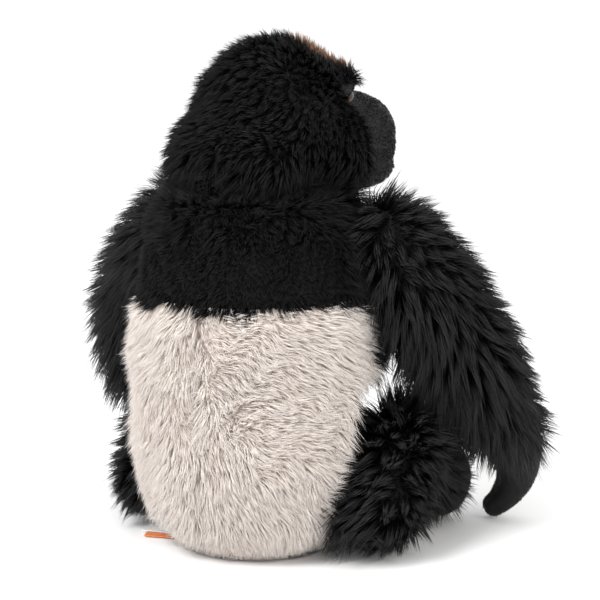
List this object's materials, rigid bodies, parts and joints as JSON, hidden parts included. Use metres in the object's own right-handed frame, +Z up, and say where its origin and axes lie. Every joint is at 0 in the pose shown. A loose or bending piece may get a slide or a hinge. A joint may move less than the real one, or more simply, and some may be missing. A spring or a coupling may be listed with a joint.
{
  "type": "stuffed toy gorilla",
  "caption": "Seated stuffed gorilla with long arms, a pale grey saddle on its back and joints at the neck, shoulders, wrists, hips and ankles.",
  "frame": {"origin": "centre of the flat seat panel, on the surface that the toy sits on", "axes": "+Z up along the toy's height; the toy faces -Y and its right side is -X"},
  "size_m": [0.2632, 0.189, 0.288],
  "materials": {
    "black_pile": "matte",
    "short_black_pile": "matte",
    "black_shag": "satin",
    "silver_pile": "matte",
    "brown_pile": "matte",
    "smooth_black": "matte",
    "nose_cloth": "satin",
    "eye_plastic": "gloss",
    "washer_plastic": "matte",
    "fibre_filling": "matte",
    "pouch_cloth": "matte",
    "orange_tape": "satin",
    "white_label": "satin"
  },
  "bodies": {
    "torso": {"base_panel": "black_pile", "silver_back_left": "silver_pile", "silver_back_right": "silver_pile", "upper_back_left": "short_black_pile", "upper_back_right": "short_black_pile", "belly_panel": "black_pile", "torso_filling": "fibre_filling", "pellet_pouch": "pouch_cloth", "seam_tape": "orange_tape", "care_label": "white_label"},
    "neck": {"neck_skin": "black_pile", "neck_filling": "fibre_filling"},
    "head": {"head_side_left": "black_pile", "head_side_right": "black_pile", "crown_patch": "brown_pile", "face_mask": "smooth_black", "brow_ridge": "smooth_black", "muzzle": "smooth_black", "nose": "nose_cloth", "ear_left": "smooth_black", "ear_right": "smooth_black", "eye_left": "eye_plastic", "eye_right": "eye_plastic", "eye_washer_left": "washer_plastic", "eye_washer_right": "washer_plastic", "head_filling": "fibre_filling"},
    "arm_left": {"arm_sleeve_left": "black_shag", "arm_filling_left": "fibre_filling"},
    "hand_left": {"hand_outer_left": "smooth_black", "hand_inner_left": "smooth_black", "hand_filling_left": "fibre_filling"},
    "leg_left": {"leg_sleeve_left": "black_shag", "leg_filling_left": "fibre_filling"},
    "foot_left": {"foot_upper_left": "short_black_pile", "foot_sole_left": "smooth_black", "foot_filling_left": "fibre_filling"},
    "arm_right": {"arm_sleeve_right": "black_shag", "arm_filling_right": "fibre_filling"},
    "hand_right": {"hand_outer_right": "smooth_black", "hand_inner_right": "smooth_black", "hand_filling_right": "fibre_filling"},
    "leg_right": {"leg_sleeve_right": "black_shag", "leg_filling_right": "fibre_filling"},
    "foot_right": {"foot_upper_right": "short_black_pile", "foot_sole_right": "smooth_black", "foot_filling_right": "fibre_filling"}
  },
  "joints": [
    {"name": "head_turn", "type": "hinge", "parent": "torso", "child": "neck", "pos_m": [0, 0, 0.206], "axis": [0, 0, 1], "range_deg": [-20, 60], "stiffness_Nm_per_rad": 0.3},
    {"name": "head_nod", "type": "hinge", "parent": "neck", "child": "head", "pos_m": [0, 0, 0.206], "axis": [-0.9397, 0.342, 0], "range_deg": [-1, 12], "stiffness_Nm_per_rad": 2},
    {"name": "shoulder_left", "type": "hinge", "parent": "torso", "child": "arm_left", "pos_m": [0.071, -0.033, 0.17], "axis": [-1, 0, 0], "range_deg": [0, 100], "stiffness_Nm_per_rad": 0.02},
    {"name": "wrist_left", "type": "hinge", "parent": "arm_left", "child": "hand_left", "pos_m": [0.115, -0.098, 0.054], "axis": [-1, 0, 0], "range_deg": [-10, 20], "stiffness_Nm_per_rad": 0.05},
    {"name": "hip_left", "type": "hinge", "parent": "torso", "child": "leg_left", "pos_m": [0.072, -0.01, 0.025], "axis": [-0.9848, 0, -0.1736], "range_deg": [0, 20], "stiffness_Nm_per_rad": 0.02},
    {"name": "ankle_left", "type": "hinge", "parent": "leg_left", "child": "foot_left", "pos_m": [0.07, -0.08, 0.022], "axis": [-1, 0, 0], "range_deg": [-8, 12], "stiffness_Nm_per_rad": 0.05},
    {"name": "shoulder_right", "type": "hinge", "parent": "torso", "child": "arm_right", "pos_m": [-0.071, -0.033, 0.17], "axis": [-1, 0, 0], "range_deg": [0, 100], "stiffness_Nm_per_rad": 0.02},
    {"name": "wrist_right", "type": "hinge", "parent": "arm_right", "child": "hand_right", "pos_m": [-0.115, -0.098, 0.054], "axis": [-1, 0, 0], "range_deg": [-10, 20], "stiffness_Nm_per_rad": 0.05},
    {"name": "hip_right", "type": "hinge", "parent": "torso", "child": "leg_right", "pos_m": [-0.072, -0.01, 0.025], "axis": [-0.9848, 0, 0.1736], "range_deg": [0, 20], "stiffness_Nm_per_rad": 0.02},
    {"name": "ankle_right", "type": "hinge", "parent": "leg_right", "child": "foot_right", "pos_m": [-0.07, -0.08, 0.022], "axis": [-1, 0, 0], "range_deg": [-8, 12], "stiffness_Nm_per_rad": 0.05}
  ]
}
